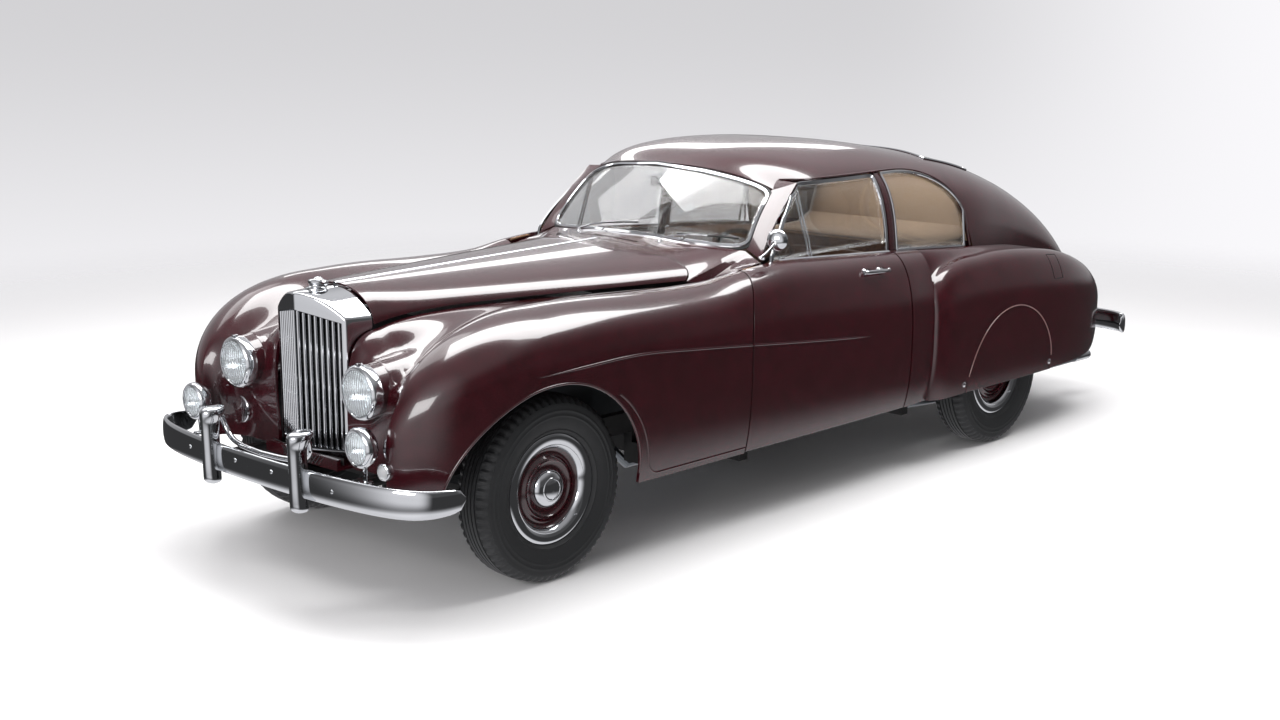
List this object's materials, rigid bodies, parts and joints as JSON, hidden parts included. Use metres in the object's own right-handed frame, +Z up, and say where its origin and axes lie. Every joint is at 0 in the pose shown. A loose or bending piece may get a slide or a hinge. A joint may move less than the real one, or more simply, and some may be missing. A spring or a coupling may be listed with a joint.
{
  "type": "classic car",
  "caption": "Long two-door fastback touring car of the early 1950s with separate wings, upright radiator, covered rear wheels and opening doors, bonnet and boot.",
  "frame": {"origin": "middle of the overall box at ground level, under the middle of the car", "axes": "+Y towards the tail, +X towards the left side of the car, +Z up; the front faces -Y"},
  "size_m": [1.8174, 5.237, 1.5561],
  "materials": {
    "body_paint": "deep gloss maroon",
    "bright_metal": "polished",
    "chassis_black": "satin black",
    "bare_steel": "satin",
    "tyre_rubber": "matte",
    "glass": "clear",
    "leather": "satin",
    "wood_trim": "gloss"
  },
  "bodies": {
    "car": {"chassis_frame": "chassis_black", "cross_members": "chassis_black", "engine_and_gearbox": "bare_steel", "front_suspension": "chassis_black", "rear_axle": "chassis_black", "floor_and_bulkhead": "chassis_black", "scuttle": "body_paint", "front_wing_left": "body_paint", "front_wing_right": "body_paint", "radiator_shell": "bright_metal", "radiator_slats": "bright_metal", "bonnet_hinge": "bright_metal", "roof": "body_paint", "windscreen_pillars": "body_paint", "windscreen": "glass", "rear_wing_left": "body_paint", "rear_wing_right": "body_paint", "rear_glass": "glass", "wheel_spats": "body_paint", "front_apron": "body_paint", "front_bumper": "bright_metal", "rear_bumper": "bright_metal", "headlamps": "bright_metal", "headlamp_nacelles": "body_paint", "fog_lamps": "bright_metal", "small_lamps": "bright_metal", "dashboard": "wood_trim", "front_seats": "leather", "rear_seat": "leather", "exhaust": "bare_steel", "fuel_tank": "chassis_black"},
    "knuckle_left_body": {"knuckle_left": "bare_steel"},
    "knuckle_right_body": {"knuckle_right": "bare_steel"},
    "wheel_fl": {"tyre_front_left": "tyre_rubber", "wheel_front_left": "body_paint"},
    "wheel_fr": {"tyre_front_right": "tyre_rubber", "wheel_front_right": "body_paint"},
    "wheel_rl": {"tyre_rear_left": "tyre_rubber", "wheel_rear_left": "body_paint"},
    "wheel_rr": {"tyre_rear_right": "tyre_rubber", "wheel_rear_right": "body_paint"},
    "door_left_body": {"door_left": "body_paint", "door_glass_left": "glass", "door_mirror": "bright_metal"},
    "door_right_body": {"door_right": "body_paint", "door_glass_right": "glass"},
    "bonnet_left_body": {"bonnet_left": "body_paint"},
    "bonnet_right_body": {"bonnet_right": "body_paint"},
    "boot_lid_body": {"boot_lid": "body_paint"},
    "steering_body": {"steering_wheel": "chassis_black"}
  },
  "joints": [
    {"name": "steer_left", "type": "hinge", "parent": "car", "child": "knuckle_left_body", "pos_m": [0.6525, -1.7725, 0.365], "axis": [0, 0, 1], "range_deg": [-32, 32]},
    {"name": "steer_right", "type": "hinge", "parent": "car", "child": "knuckle_right_body", "pos_m": [-0.6525, -1.7725, 0.365], "axis": [0, 0, 1], "range_deg": [-32, 32]},
    {"name": "steering_wheel_turn", "type": "hinge", "parent": "car", "child": "steering_body", "pos_m": [0.36, -0.1125, 0.985], "axis": [0, 0.9135, 0.4067], "range_deg": [-448, 448]},
    {"name": "front_left_wheel_spin", "type": "hinge", "parent": "knuckle_left_body", "child": "wheel_fl", "pos_m": [0.7175, -1.7725, 0.365], "axis": [1, 0, 0], "continuous": true},
    {"name": "front_right_wheel_spin", "type": "hinge", "parent": "knuckle_right_body", "child": "wheel_fr", "pos_m": [-0.7175, -1.7725, 0.365], "axis": [1, 0, 0], "continuous": true},
    {"name": "rear_left_wheel_spin", "type": "hinge", "parent": "car", "child": "wheel_rl", "pos_m": [0.743, 1.2755, 0.365], "axis": [1, 0, 0], "continuous": true},
    {"name": "rear_right_wheel_spin", "type": "hinge", "parent": "car", "child": "wheel_rr", "pos_m": [-0.743, 1.2755, 0.365], "axis": [1, 0, 0], "continuous": true},
    {"name": "door_left_hinge", "type": "hinge", "parent": "car", "child": "door_left_body", "pos_m": [0.884, -0.6865, 0.7], "axis": [0, 0, -1], "range_deg": [0, 65]},
    {"name": "door_right_hinge", "type": "hinge", "parent": "car", "child": "door_right_body", "pos_m": [-0.884, -0.6865, 0.7], "axis": [0, 0, 1], "range_deg": [0, 65]},
    {"name": "bonnet_left_hinge", "type": "hinge", "parent": "car", "child": "bonnet_left_body", "pos_m": [0, -2.1725, 1.118], "axis": [0, -0.9996, -0.0283], "range_deg": [0, 62]},
    {"name": "bonnet_right_hinge", "type": "hinge", "parent": "car", "child": "bonnet_right_body", "pos_m": [0, -2.1725, 1.118], "axis": [0, 0.9996, 0.0283], "range_deg": [0, 62]},
    {"name": "boot_lid_hinge", "type": "hinge", "parent": "car", "child": "boot_lid_body", "pos_m": [0, 1.8275, 1.27], "axis": [1, 0, 0], "range_deg": [0, 55]}
  ],
  "couplings": [
    {"joint": "steer_right", "follows": "steer_left", "ratio": 1},
    {"joint": "steering_wheel_turn", "follows": "steer_left", "ratio": 14}
  ]
}
